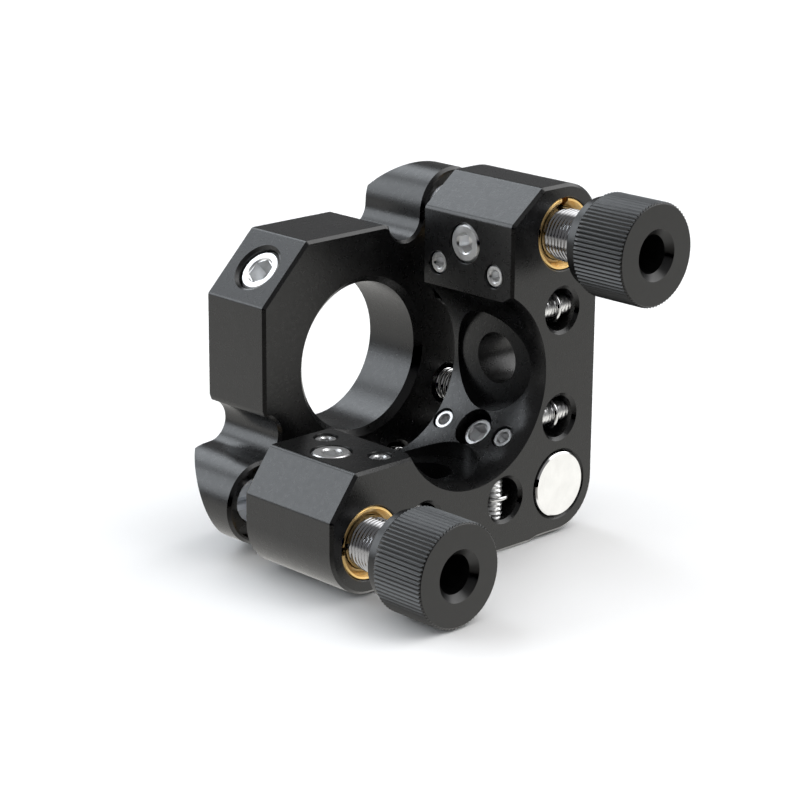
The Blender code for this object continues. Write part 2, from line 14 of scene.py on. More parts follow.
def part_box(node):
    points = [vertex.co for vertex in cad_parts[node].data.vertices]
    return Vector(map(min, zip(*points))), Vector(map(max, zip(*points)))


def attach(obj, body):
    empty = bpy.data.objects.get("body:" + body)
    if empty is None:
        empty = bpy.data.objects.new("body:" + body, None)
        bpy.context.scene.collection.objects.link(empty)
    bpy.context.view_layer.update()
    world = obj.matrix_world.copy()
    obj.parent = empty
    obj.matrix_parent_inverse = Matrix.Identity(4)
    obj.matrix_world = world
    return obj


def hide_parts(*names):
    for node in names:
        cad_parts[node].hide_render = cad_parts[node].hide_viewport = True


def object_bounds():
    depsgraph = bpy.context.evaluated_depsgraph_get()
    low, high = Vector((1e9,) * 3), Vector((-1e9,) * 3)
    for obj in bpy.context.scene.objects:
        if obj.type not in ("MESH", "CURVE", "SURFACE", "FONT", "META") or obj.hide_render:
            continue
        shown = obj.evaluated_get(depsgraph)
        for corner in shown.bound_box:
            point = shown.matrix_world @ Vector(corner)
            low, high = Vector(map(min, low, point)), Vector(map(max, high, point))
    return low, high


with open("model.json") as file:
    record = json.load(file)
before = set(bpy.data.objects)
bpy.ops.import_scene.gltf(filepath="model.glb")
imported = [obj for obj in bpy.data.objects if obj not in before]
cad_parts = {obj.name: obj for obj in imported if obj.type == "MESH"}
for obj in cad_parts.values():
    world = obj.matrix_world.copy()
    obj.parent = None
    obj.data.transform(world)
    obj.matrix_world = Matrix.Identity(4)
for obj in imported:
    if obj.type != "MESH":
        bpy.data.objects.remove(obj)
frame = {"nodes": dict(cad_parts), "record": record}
cad_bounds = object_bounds()

MM = 0.001
FRAME_LOW, FRAME_HIGH = (Vector(corner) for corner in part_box("rear_frame"))
PLATE_LOW, PLATE_HIGH = (Vector(corner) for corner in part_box("front_plate"))
KNOB_LOW, KNOB_HIGH = (Vector(corner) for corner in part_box("lower_knob"))
PIN_LOW = Vector(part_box("pivot_pin")[0])

# Rear frame.
SIDE = FRAME_HIGH.x - FRAME_LOW.x
ORIGIN = Vector((FRAME_LOW.x, FRAME_LOW.y, FRAME_HIGH.z - SIDE))
PAD_T = ORIGIN.z - FRAME_LOW.z
PAD_LEFT, PAD_RIGHT, PAD_SLOPE = 8.0 * MM, 22.5 * MM, 0.9 * MM
BLOCK_ROUND, CELL_ROUND = 0.5 * MM, 0.35 * MM      # rounding of the corners beside the slanted faces
FRAME_T = FRAME_HIGH.y - FRAME_LOW.y
AXIS = (KNOB_LOW.x + KNOB_HIGH.x) / 2 - ORIGIN.x
BLOCK = 10.3 * MM
BLOCK_CUT_LONG, BLOCK_CUT_SHORT = 3.5 * MM, 2.65 * MM
OPENING_X, OPENING_Z, OPENING_R = 15.7 * MM, 14.3 * MM, 7.7 * MM
OPENING_EDGE, OPENING_EDGE_DEPTH = 0.55 * MM, 1.1 * MM
EDGE, FRONT_EDGE = 0.25 * MM, 0.08 * MM

# Front plate.
PLATE_REAR = PLATE_LOW.y - ORIGIN.y
PLATE_FRONT = PLATE_HIGH.y - ORIGIN.y
PLATE_T = PLATE_FRONT - PLATE_REAR
OPTIC_X, OPTIC_Z, OPTIC_R = 15.5 * MM, 14.5 * MM, 6.4 * MM
OPTIC_REAR_EDGE, OPTIC_FRONT_EDGE = 0.55 * MM, 1.1 * MM
CELL_INSET, CELL_CUT, CELL_END = 4.57 * MM, 4.82 * MM, 11.9 * MM
NOTCH_X, NOTCH_Z, NOTCH_R = 4.4 * MM, 9.6 * MM, 1.83 * MM
LOBE_R = AXIS - (PLATE_LOW.x - ORIGIN.x)
FRONT_TURN_R = 14.33 * MM
SEAT_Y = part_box("upper_flat_seat")[0][1] - ORIGIN.y
RECESS_R, SEAT_R, SEAT_HOLE_DEPTH = 3.1 * MM, 1.9 * MM, 1.65 * MM

# Adjusters.
BUSH_R, BUSH_REAR, BUSH_EDGE = 3.0 * MM, 0.09 * MM, 0.53 * MM
BUSH_SLOT, BUSH_SLOT_DEPTH = 0.7 * MM, 1.3 * MM
SCREW_R, FIT, PITCH = 2.2 * MM, 0.05 * MM, 0.35 * MM
SCREW_END, SCREW_TIP = -5.6 * MM, 12.4 * MM
THREAD_DEPTH, THREAD_EDGE = 0.11 * MM, 0.3 * MM
SCREW_SHANK_R, SCREW_SHOULDER = 1.9 * MM, -3.1 * MM
KNOB_R = (KNOB_HIGH.z - KNOB_LOW.z) / 2
KNOB_FACE, KNOB_STEP = KNOB_LOW.y - ORIGIN.y, -4.83 * MM
COLLAR_R, COLLAR_END = 3.75 * MM, KNOB_HIGH.y - ORIGIN.y
KNOB_HOLE_R, KNOB_HOLE_EDGE = 1.6 * MM, 0.55 * MM
KNURLS, KNURL_DEPTH, KNOB_EDGE = 76, 0.15 * MM, 0.04 * MM
KNURL_SHAPE = (0.0, 0.7, 1.0, 0.7)      # how deep each point of one ridge and groove is cut
BALL_CUP_R, BALL_CUP_DEPTH = 1.45 * MM, 1.3 * MM

# Pivot pin.
PIN_R, PIN_REAR, PIN_EDGE = 2.8 * MM, PIN_LOW.y - ORIGIN.y, 0.12 * MM
PIN_SHOULDER, PIN_NOSE_R = 10.0 * MM, 2.1 * MM

# Clamp screws.
LOCK_R, LOCK_LENGTH, LOCK_HEX = 1.65 * MM, 2.75 * MM, 1.5 * MM
PIVOT_LOCK_R, PIVOT_LOCK_HOLE_R = 1.4 * MM, 1.75 * MM
SMALL_R, SMALL_LENGTH, SMALL_HEX = 0.95 * MM, 2.5 * MM, 0.9 * MM
LOCK_ACROSS, SMALL_ACROSS = 5.0 * MM, 7.18 * MM
LOCK_Y, SMALL_Y = 5.55 * MM, (8.65 * MM, 2.2 * MM)
PIVOT_SMALL_Y = (9.2 * MM, 2.25 * MM)
PIVOT_LOCK_SUNK, LOCK_SUNK, SMALL_SUNK = 0.7 * MM, 0.03 * MM, 0.15 * MM
SOCKET_SINK = 0.07 * MM

# Return springs and the pins that hold their hooks.
SPRING_IN, SPRING_NEAR, SPRING_FAR = 4.28 * MM, 10.12 * MM, 19.37 * MM
SPRING_HOLE_R, SPRING_HOLE_EDGE = 1.8 * MM, 0.28 * MM
ANCHOR_R, ANCHOR_Y, ANCHOR_LENGTH, ANCHOR_SUNK = 0.95 * MM, 1.65 * MM, 6.3 * MM, 0.3 * MM
ANCHOR_PITCH, ANCHOR_THREAD_DEPTH = 0.4 * MM, 0.12 * MM
DOWEL_R, DOWEL_Y, DOWEL_LENGTH = 0.75 * MM, 15.6 * MM, 5.9 * MM
SPRING_POCKET = 4.4 * MM
WIRE_R, COIL_R, HOOK_R = 0.21 * MM, 1.27 * MM, 1.25 * MM
COIL_TURNS, COIL_STEPS, COIL_START, COIL_END = 18, 28, 3.3 * MM, 13.8 * MM

# Fixing holes for M4 cap screws.
M4_R, HEAD_R, HEAD_FLOOR = 2.2 * MM, 4.3 * MM, 6.3 * MM
FIXING_Y, FIXING_ACROSS = 5.5 * MM, 14.5 * MM

# Screw that holds the optic.
OPTIC_SCREW_R, OPTIC_SCREW_LENGTH, OPTIC_SCREW_HEX = 1.95 * MM, 3.6 * MM, 2.0 * MM
OPTIC_SCREW_SUNK = 0.35 * MM

ALONG_X, ALONG_Y, ALONG_Z = Vector((1, 0, 0)), Vector((0, 1, 0)), Vector((0, 0, 1))
INWARD = Vector((1, 0, -1)).normalized()
PAST = 0.5 * MM
WELD = 0.001 * MM
HOLE_EDGE = 0.1 * MM

# Camera.
CAMERA_AZIMUTH, CAMERA_ELEVATION, CAMERA_ROLL = -43.703, 16.959, 0.437
CAMERA_DISTANCE = 201.62 * MM
CAMERA_AIM = Vector((7.235, 0.0, 15.396)) * MM
LENS, SENSOR = 115.8, 36.0

# Floor, and the lamp that lights it.
FLOOR_REACH, FLOOR_GAP = 3.0, 0.02 * MM
LAMP_PLACE, LAMP_SIZE, LAMP_WATTS = Vector((-0.05, 0.05, 0.70)), 2.4, 12.5

# Soft boxes of the studio: direction, the cosine where each starts and is full, and its colour. The first is
# the pale table seen from above, and the second the dark gap in it below the camera.
SOFT_BOXES = (
    ((0.0, 0.0, -1.0), 0.0, 0.22, (0.86, 0.85, 0.81)),
    ((-0.69, -0.66, -0.29), 0.86, 0.95, (-0.80, -0.80, -0.78)),
    ((0.66, -0.69, -0.29), 0.75, 0.92, (0.08, 0.08, 0.07)),
    ((-0.62, 0.66, 0.42), 0.90, 0.962, (3.5, 3.7, 3.9)),
    ((0.06, 0.70, 0.71), 0.93, 0.98, (3.3, 3.5, 3.7)),
    ((0.66, -0.29, 0.69), 0.75, 0.92, (2.6, 2.6, 2.6)),
)
STUDIO_DIM = (0.21, 0.21, 0.213)


# ---------------------------------------------------------------- meshes

def plate_point(point):
    return ORIGIN + Vector(point)


def add_object(name, mesh, point, axis=ALONG_Z, across=None):
    """Places a mesh at a plate point, with its local Z along axis and its local X along across."""
    item = bpy.data.objects.new(name, mesh)
    bpy.context.scene.collection.objects.link(item)
    item.location = plate_point(point)
    item.rotation_mode = "QUATERNION"
    if across is None:
        item.rotation_quaternion = ALONG_Z.rotation_difference(axis)
    else:
        item.rotation_quaternion = Matrix((across, axis.cross(across), axis)).transposed().to_quaternion()
    return item


def to_mesh(bm, name):
    bmesh.ops.recalc_face_normals(bm, faces=bm.faces)
    mesh = bpy.data.meshes.new(name)
    bm.to_mesh(mesh)
    bm.free()
    return mesh


def joined_rows(bm, rows, ring):
    """Faces between rows of vertices that run round an axis; a single vertex closes the shape."""
    pairs = list(zip(rows, rows[1:]))
    if ring:
        pairs.append((rows[-1], rows[0]))
    for low, high in pairs:
        count = max(len(low), len(high))
        for i in range(count):
            j = (i + 1) % count
            if len(low) == 1:
                bm.faces.new((low[0], high[i], high[j]))
            elif len(high) == 1:
                bm.faces.new((low[i], low[j], high[0]))
            else:
                bm.faces.new((low[i], low[j], high[j], high[i]))
    if not ring:
        for row in (rows[0], rows[-1]):
            if len(row) > 1:
                bm.faces.new(row)


def turned_mesh(name, profile, count, ring=False):
    """A turned solid about Z from (radius, height) points; a ring's profile is a closed loop."""
    bm = bmesh.new()
    rows = []
    for radius, height in profile:
        if radius == 0:
            rows.append([bm.verts.new((0, 0, height))])
            continue
        angles = [2 * pi * i / count for i in range(count)]
        rows.append([bm.verts.new((radius * cos(a), radius * sin(a), height)) for a in angles])
    joined_rows(bm, rows, ring)
    return to_mesh(bm, name)


def stacked_mesh(name, layers):
    bm = bmesh.new()
    rows = [[bm.verts.new((x, y, z)) for x, z in points] for points, y in layers]
    joined_rows(bm, rows, False)
    return to_mesh(bm, name)


def inset(outline, distance):
    """Moves each side of a counterclockwise outline inwards by the same distance."""
    points = [Vector(point) for point in outline]
    moved = []
    for before, here, after in zip([points[-1]] + points, points, points[1:] + points[:1]):
        first = (here - before).normalized()
        second = (after - here).normalized()
        inward = Vector((-first.y, first.x)) + Vector((-second.y, second.x))
        moved.append(here + inward * (distance / (1 + first.dot(second))))
    return moved


def plate_mesh(name, outline, low, high, front_edge):
    """A counterclockwise outline carried along Y, with the edges of both faces broken at 45 degrees."""
    rear, front = inset(outline, EDGE), inset(outline, front_edge)
    layers = [(rear, low), (outline, low + EDGE), (outline, high - front_edge), (front, high)]
    return stacked_mesh(name, layers)


def arc(centre, radius, start, end, steps):
    """Points on an arc, with angles in degrees from +X towards +Z."""
    angles = [radians(start + (end - start) * i / steps) for i in range(steps + 1)]
    return [(centre[0] + radius * cos(a), centre[1] + radius * sin(a)) for a in angles]


def rounded(before, corner, after, radius):
    """A corner between two straight sides, rounded by an arc that touches both."""
    point = Vector(corner)
    first = (Vector(before) - point).normalized()
    second = (Vector(after) - point).normalized()
    half = first.angle(second) / 2
    centre = point + (first + second).normalized() * (radius / sin(half))
    spokes = [point + side * (radius / tan(half)) - centre for side in (first, second)]
    return [centre + spokes[0].lerp(spokes[1], i / 4).normalized() * radius for i in range(5)]


def mirrored(points):
    """The same points on the other side of the diagonal through the upper left and lower right corners."""
    return [(SIDE - z, SIDE - x) for x, z in reversed(points)]


def shape(item, cutters, operation="DIFFERENCE"):
    """Cuts the item with each cutter, keeps the result as its mesh, and deletes the cutters."""
    for cutter in cutters:
        boolean = item.modifiers.new(cutter.name, "BOOLEAN")
        boolean.operation = operation
        boolean.solver = "EXACT"
        boolean.object = cutter
    bpy.context.view_layer.update()
    result = bpy.data.meshes.new_from_object(item.evaluated_get(bpy.context.evaluated_depsgraph_get()))
    bm = bmesh.new()
    bm.from_mesh(result)
    bmesh.ops.remove_doubles(bm, verts=bm.verts, dist=WELD)
    bmesh.ops.dissolve_degenerate(bm, edges=bm.edges, dist=WELD)
    bm.to_mesh(result)
    bm.free()
    item.modifiers.clear()
    item.data = result
    for cutter in cutters:
        bpy.data.objects.remove(cutter, do_unlink=True)


def drill(point, axis, radius, depth, count, edge=0.0):
    """A cutter for a round hole from point along axis, with a 45 degree edge where it enters."""
    profile = [(0, -PAST), (radius + edge + PAST if edge else radius, -PAST)]
    if edge:
        profile.append((radius, edge))
    profile += [(radius, depth), (0, depth)]
    return add_object("drill", turned_mesh("drill", profile, count), point, axis)


def finish(item, material, body, *nodes):
    """Gives a piece its material and smooth shading, and sets it on its body in place of its CAD nodes."""
    item.data.materials.clear()
    item.data.materials.append(material)
    if item.type == "MESH":
        item.data.shade_smooth()
        item.data.set_sharp_from_angle(angle=radians(28))
        normals = item.modifiers.new("normals", "WEIGHTED_NORMAL")
        normals.keep_sharp = True
        normals.weight = 100
    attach(item, body)
    if nodes:
        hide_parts(*nodes)


# ---------------------------------------------------------------- materials

def new_material(name, colour, roughness, metallic):
    material = bpy.data.materials.new(name)
    material.use_nodes = True
    shader = material.node_tree.nodes["Principled BSDF"]
    shader.inputs["Base Color"].default_value = (*colour, 1)
    shader.inputs["Roughness"].default_value = roughness
    shader.inputs["Metallic"].default_value = metallic
    return material, material.node_tree, shader


def noise(tree, scale, detail=3.0, stretch=None):
    """Noise in the model's own metres; scale is the number of features in a metre."""
    coordinates = tree.nodes.new("ShaderNodeTexCoord")
    texture = tree.nodes.new("ShaderNodeTexNoise")
    texture.inputs["Scale"].default_value = scale
    texture.inputs["Detail"].default_value = detail
    source = coordinates.outputs["Object"]
    if stretch:
        mapping = tree.nodes.new("ShaderNodeMapping")
        mapping.inputs["Scale"].default_value = stretch
        tree.links.new(source, mapping.inputs["Vector"])
        source = mapping.outputs["Vector"]
    tree.links.new(source, texture.inputs["Vector"])
    return texture.outputs["Fac"]


def spread(tree, value, low, high):
    """Maps noise onto a range of numbers."""
    mapped = tree.nodes.new("ShaderNodeMapRange")
    mapped.inputs["From Min"].default_value = 0.3
    mapped.inputs["From Max"].default_value = 0.7
    mapped.inputs["To Min"].default_value = low
    mapped.inputs["To Max"].default_value = high
    tree.links.new(value, mapped.inputs["Value"])
    return mapped.outputs["Result"]


def two_tone(tree, shader, value, first, second):
    ramp = tree.nodes.new("ShaderNodeValToRGB")
    ramp.color_ramp.elements[0].position = 0.35
    ramp.color_ramp.elements[0].color = (*first, 1)
    ramp.color_ramp.elements[1].position = 0.65
    ramp.color_ramp.elements[1].color = (*second, 1)
    tree.links.new(value, ramp.inputs["Fac"])
    tree.links.new(ramp.outputs["Color"], shader.inputs["Base Color"])


def bump(tree, shader, height, strength, distance):
    node = tree.nodes.new("ShaderNodeBump")
    node.inputs["Strength"].default_value = strength
    node.inputs["Distance"].default_value = distance
    tree.links.new(height, node.inputs["Height"])
    tree.links.new(node.outputs["Normal"], shader.inputs["Normal"])


def anodised_material():
    """Bead-blasted aluminium, dyed black: a fine even grain and a satin sheen."""
    material, tree, shader = new_material("anodised", (0.003, 0.003, 0.003), 0.29, 0.0)
    shader.inputs["IOR"].default_value = 1.5
    two_tone(tree, shader, noise(tree, 900), (0.0022, 0.0022, 0.0024), (0.0040, 0.0040, 0.0042))
    tree.links.new(spread(tree, noise(tree, 2500), 0.26, 0.32), shader.inputs["Roughness"])
    bump(tree, shader, noise(tree, 7000, 2), 0.55, 0.02 * MM)
    return material


def knob_material():
    material, tree, shader = new_material("knob_black", (0.003, 0.003, 0.003), 0.34, 0.0)
    shader.inputs["IOR"].default_value = 1.5
    two_tone(tree, shader, noise(tree, 1500), (0.0020, 0.0020, 0.0020), (0.0036, 0.0036, 0.0036))
    tree.links.new(spread(tree, noise(tree, 3000), 0.30, 0.36), shader.inputs["Roughness"])
    bump(tree, shader, noise(tree, 9000, 2), 0.2, 0.01 * MM)
    return material


def turned_metal(name, first, second, roughness, marks=0.2):
    """Bright turned metal: fine tool marks across Y and a slight change of tone."""
    material, tree, shader = new_material(name, first, roughness, 1.0)
    two_tone(tree, shader, noise(tree, 700), first, second)
    changing = spread(tree, noise(tree, 700), roughness * 0.9, roughness * 1.15)
    tree.links.new(changing, shader.inputs["Roughness"])
    bump(tree, shader, noise(tree, 1200, 2, (1, 12, 1)), marks, 0.008 * MM)
    return material


def nylon_material():
    material, tree, shader = new_material("nylon", (0.8, 0.8, 0.74), 0.5, 0.0)
    two_tone(tree, shader, noise(tree, 500), (0.76, 0.76, 0.70), (0.84, 0.84, 0.79))
    bump(tree, shader, noise(tree, 2500), 0.1, 0.02 * MM)
    return material


def sapphire_material():
    material, tree, shader = new_material("sapphire", (0.72, 0.76, 0.82), 0.08, 0.0)
    two_tone(tree, shader, noise(tree, 300), (0.70, 0.74, 0.80), (0.76, 0.79, 0.84))
    bump(tree, shader, noise(tree, 4000), 0.05, 0.005 * MM)
    return material


MATERIALS = {
    "anodised": anodised_material(),
    "knob_black": knob_material(),
    "brass": turned_metal("brass", (0.93, 0.62, 0.24), (0.98, 0.70, 0.32), 0.34),
    "steel": turned_metal("steel", (0.82, 0.82, 0.82), (0.90, 0.90, 0.90), 0.34, 0.02),
    # thread_steel is the same steel painted much darker, 0.34 against 0.82: painted shade for the dark
    # surroundings that the adjusters' threads and noses reflect.
    "thread_steel": turned_metal("thread_steel", (0.34, 0.34, 0.35), (0.42, 0.42, 0.43), 0.16),
    "ball_steel": turned_metal("ball_steel", (0.80, 0.80, 0.80), (0.86, 0.86, 0.86), 0.10),
    "spring_steel": turned_metal("spring_steel", (0.62, 0.62, 0.62), (0.76, 0.76, 0.76), 0.16),
    "sapphire": sapphire_material(),
    "nylon": nylon_material(),
}


# ---------------------------------------------------------------- frame and plate

def frame_outline():
    """The rear frame's outline, counterclockwise, with the mounting pad on its lower edge."""
    pad = [
        (PAD_LEFT - PAD_SLOPE, 0), (PAD_LEFT, -PAD_T), (PAD_RIGHT, -PAD_T), (PAD_RIGHT + PAD_SLOPE, 0),
    ]
    lower_left = arc((AXIS, AXIS), AXIS, 180, 270, 24)
    lower_right = arc((SIDE - AXIS, AXIS), AXIS, 270, 360, 24)
    upper_right = arc((SIDE - AXIS, SIDE - AXIS), AXIS, 0, 90, 24)
    top, side = (BLOCK_CUT_SHORT, BLOCK), (0, BLOCK - BLOCK_CUT_LONG)
    lower_block = rounded((BLOCK, BLOCK), top, side, BLOCK_ROUND)
    lower_block += rounded(top, side, (0, AXIS), BLOCK_ROUND)
    inner_corner = [(SIDE - BLOCK, BLOCK)]
    return lower_left + pad + lower_right + upper_right + mirrored(lower_block) + inner_corner + lower_block


def plate_outline():
    """The front plate's outline: the optic's cell at the upper left, two notches and three lobes."""
    upper = (CELL_INSET + CELL_CUT, SIDE - CELL_INSET)
    corner = (CELL_INSET, SIDE - CELL_INSET - CELL_CUT)
    cell = rounded(upper, corner, (CELL_INSET, CELL_END), CELL_ROUND) + [(CELL_INSET, CELL_END)]
    notch = arc((NOTCH_X, NOTCH_Z), NOTCH_R, 78, -90, 32)
    lobe = arc((AXIS, AXIS), LOBE_R, 90, 270, 48)
    pivot_lobe = arc((SIDE - AXIS, AXIS), LOBE_R, 270, 360, 24)
    half = cell + notch + lobe
    return half + pivot_lobe + mirrored(half)


def spring_places():
    """Each spring's (x, z) and the direction of the pins across it."""
    right = [(SIDE - SPRING_IN, z, ALONG_X) for z in (SPRING_FAR, SPRING_NEAR)]
    below = [(x, SPRING_IN, ALONG_Z) for x in (SPRING_FAR, SPRING_NEAR)]
    return right + below


def contact_places():
    return {"lower": (AXIS, AXIS), "upper": (SIDE - AXIS, SIDE - AXIS), "pivot": (SIDE - AXIS, AXIS)}


def clamp_places():
    """For each clamp: a point on its face, across and at a depth y, its direction, and how far it sinks."""
    return {
        "lower": (lambda across, y: Vector((across, y, BLOCK)), -ALONG_Z, LOCK_SUNK),
        "upper": (lambda across, y: Vector((SIDE - BLOCK, y, SIDE - across)), ALONG_X, LOCK_SUNK),
        "pivot": (lambda across, y: Vector((OPENING_X, y, OPENING_Z)) + INWARD * OPENING_R, INWARD,
                  PIVOT_LOCK_SUNK),
    }


def dowel_place(x, z, pin, sunk):
    """Where a dowel enters the plate's right or lower edge, and the way it points."""
    edge = AXIS - LOBE_R
    if pin is ALONG_X:
        return Vector((SIDE - edge - sunk, DOWEL_Y, z)), -ALONG_X
    return Vector((x, DOWEL_Y, edge + sunk)), ALONG_Z


def anchor_place(x, z, pin, sunk):
    """Where a spring's screw enters the frame's right or lower face, and the way it points."""
    if pin is ALONG_X:
        return Vector((SIDE - sunk, ANCHOR_Y, z)), -ALONG_X
    return Vector((x, ANCHOR_Y, sunk)), ALONG_Z


def build_frame():
    mesh = plate_mesh("rear_frame", frame_outline(), 0, FRAME_T, EDGE)
    body = add_object("rear_frame_fine", mesh, (0, 0, 0))
    bore = Vector((OPENING_X, 0, OPENING_Z))
    mouth = OPENING_R + OPENING_EDGE * (1 + PAST / OPENING_EDGE_DEPTH)
    opening = [(0, -PAST), (mouth, -PAST), (OPENING_R, OPENING_EDGE_DEPTH),
               (OPENING_R, FRAME_T - EDGE), (OPENING_R + EDGE + PAST, FRAME_T + PAST), (0, FRAME_T + PAST)]
    cutters = [add_object("opening", turned_mesh("opening", opening, 192), bore, ALONG_Y)]
    through = FRAME_T + PAST
    for x, z in ((AXIS, AXIS), (SIDE - AXIS, SIDE - AXIS)):
        cutters.append(drill((x, 0, z), ALONG_Y, BUSH_R + FIT, through, 96, HOLE_EDGE))
    cutters.append(drill((SIDE - AXIS, 0, AXIS), ALONG_Y, PIN_R + FIT, through, 96, EDGE))
    for x, z, pin in spring_places():
        cutters.append(drill((x, 0, z), ALONG_Y, SPRING_HOLE_R, through, 72, SPRING_HOLE_EDGE))
        point, inward = anchor_place(x, z, pin, 0)
        depth = ANCHOR_SUNK + ANCHOR_LENGTH + 2 * FIT
        cutters.append(drill(point, inward, ANCHOR_R + FIT, depth, 48, HOLE_EDGE))
    for face, inward, sunk in clamp_places().values():
        pivot = inward is INWARD
        lock_r = PIVOT_LOCK_HOLE_R if pivot else LOCK_R + FIT
        edge = 0 if pivot else HOLE_EDGE / 2
        depth = sunk + LOCK_LENGTH + 2 * FIT
        cutters.append(drill(face(LOCK_ACROSS, LOCK_Y), inward, lock_r, depth, 64, edge))
        for y in (PIVOT_SMALL_Y if pivot else SMALL_Y):
            depth = SMALL_SUNK + SMALL_LENGTH + 2 * FIT
            cutters.append(drill(face(SMALL_ACROSS, y), inward, SMALL_R + FIT, depth, 48, edge))
    side = Vector((SIDE - HEAD_FLOOR, FIXING_Y, FIXING_ACROSS))
    base = Vector((SIDE - FIXING_ACROSS, FIXING_Y, HEAD_FLOOR))
    for floor, out in ((side, ALONG_X), (base, -ALONG_Z)):
        head = [(0, 0), (HEAD_R, 0), (HEAD_R, -HEAD_FLOOR), (0, -HEAD_FLOOR)]
        cutters.append(add_object("head", turned_mesh("head", head, 96), floor, out))
        cutters.append(drill(floor, out, M4_R, HEAD_FLOOR + 2 * PAST, 64))
    shape(body, cutters)
    finish(body, MATERIALS["anodised"], "frame", "rear_frame")


def build_plate():
    mesh = plate_mesh("front_plate", plate_outline(), PLATE_REAR, PLATE_FRONT, FRONT_EDGE)
    plate = add_object("front_plate_fine", mesh, (0, 0, 0))
    low, high = PLATE_REAR - PAST, PLATE_FRONT + PAST
    cone = [(0, low), (FRONT_TURN_R + PLATE_FRONT - low, low), (FRONT_TURN_R - PAST, high), (0, high)]
    optic = Vector((OPTIC_X, 0, OPTIC_Z))
    turned = add_object("turned", turned_mesh("turned", cone, 250), optic, ALONG_Y)
    shape(plate, [turned], "INTERSECT")
    rear, front = OPTIC_REAR_EDGE, OPTIC_FRONT_EDGE
    bore = [(0, low), (OPTIC_R + rear + PAST, low), (OPTIC_R, PLATE_REAR + rear),
            (OPTIC_R, PLATE_FRONT - front), (OPTIC_R + front + PAST, high), (0, high)]
    cutters = [add_object("bore", turned_mesh("bore", bore, 192), optic, ALONG_Y)]
    for x, z in contact_places().values():
        cutters.append(drill((x, PLATE_REAR, z), ALONG_Y, RECESS_R, SEAT_Y - PLATE_REAR, 96))
        cutters.append(drill((x, SEAT_Y, z), ALONG_Y, SEAT_R + FIT, SEAT_HOLE_DEPTH, 64))
    for x, z, pin in spring_places():
        rear_hole = (x, PLATE_REAR, z)
        cutters.append(drill(rear_hole, ALONG_Y, SPRING_HOLE_R, SPRING_POCKET, 64, SPRING_HOLE_EDGE))
        point, inward = dowel_place(x, z, pin, 0)
        cutters.append(drill(point, inward, DOWEL_R + FIT, DOWEL_LENGTH + 2 * FIT, 36))
    middle = cell_corner()
    reach = hypot(OPTIC_X - middle.x, OPTIC_Z - middle.z)
    cutters.append(drill(middle, INWARD, OPTIC_SCREW_R + FIT, reach, 72, EDGE))
    shape(plate, cutters)
    finish(plate, MATERIALS["anodised"], "front_plate", "front_plate")


def cell_corner():
    """The middle of the cell's 45 degree face, where the optic's set screw enters."""
    across = CELL_INSET + CELL_CUT / 2
    return Vector((across, PLATE_REAR + PLATE_T / 2, SIDE - across))


# ---------------------------------------------------------------- screws, bushings, knobs

def threaded_mesh(name, radius, depth, pitch, low, high, edge, count):
    """A screw thread about Z from low to high, with coned ends: each row is a step along the helix."""
    bm = bmesh.new()
    steps = 6
    rows = int((high - low) / pitch * steps)
    levels = [[bm.verts.new((0, 0, low))]]
    for i in range(rows + 1):
        height = low + (high - low) * i / rows
        ends = min(height - low, high - height)
        ring = []
        for j in range(count):
            turn = (height / pitch + j / count) % 1
            groove = depth * (1 - abs(2 * turn - 1))
            limit = radius - edge + ends
            reach = min(radius - groove, limit)
            angle = 2 * pi * j / count
            ring.append(bm.verts.new((reach * cos(angle), reach * sin(angle), height)))
        levels.append(ring)
    levels.append([bm.verts.new((0, 0, high))])
    joined_rows(bm, levels, False)
    return to_mesh(bm, name)


def set_screw(node, body, point, axis, radius, length, hexagon, material, pitch=None):
    """A socket set screw: a chamfered end, a hexagon with a countersunk mouth, and a thread if it shows."""
    name = f"{node}_fine"
    edge = radius * 0.13
    if pitch:
        mesh = threaded_mesh(name, radius, ANCHOR_THREAD_DEPTH, pitch, 0, length, edge, 56)
    else:
        profile = [(radius - edge, 0), (radius, edge), (radius, length - edge), (radius - edge, length)]
        mesh = turned_mesh(name, profile, 96)
    screw = add_object(name, mesh, point, axis)
    corner = hexagon / sqrt(3)
    depth = length * 0.45
    profile = [(corner, -PAST), (corner, depth), (0, depth + corner * 0.5)]
    socket = add_object("hex", turned_mesh("hex", profile, 6), point, axis)
    outer, inner = corner + SOCKET_SINK + PAST, corner - SOCKET_SINK
    mouth = [(outer, -PAST), (inner, SOCKET_SINK * 2), (0, SOCKET_SINK * 2)]
    sink = add_object("sink", turned_mesh("sink", mouth, 72), point, axis)
    shape(screw, [socket, sink])
    finish(screw, material, body, node)


def build_clamp_screws():
    steel = MATERIALS["steel"]
    for name, (face, inward, sunk) in clamp_places().items():
        point = face(LOCK_ACROSS, LOCK_Y) + inward * sunk
        radius = PIVOT_LOCK_R if name == "pivot" else LOCK_R
        set_screw(f"{name}_lock_screw", "frame", point, inward, radius, LOCK_LENGTH, LOCK_HEX, steel)
        for i, y in enumerate(PIVOT_SMALL_Y if name == "pivot" else SMALL_Y, 1):
            point = face(SMALL_ACROSS, y) + inward * SMALL_SUNK
            set_screw(f"{name}_set_screw_{i}", "frame", point, inward, SMALL_R, SMALL_LENGTH, SMALL_HEX,
                      steel)
    point = cell_corner() + INWARD * OPTIC_SCREW_SUNK
    set_screw("optic_set_screw", "front_plate", point, INWARD, OPTIC_SCREW_R, OPTIC_SCREW_LENGTH,
              OPTIC_SCREW_HEX, steel)
    for number, (x, z, pin) in enumerate(spring_places(), 1):
        point, inward = anchor_place(x, z, pin, ANCHOR_SUNK)
        set_screw(f"spring_screw_{number}", "frame", point, inward, ANCHOR_R, ANCHOR_LENGTH, SMALL_HEX,
                  steel, ANCHOR_PITCH)


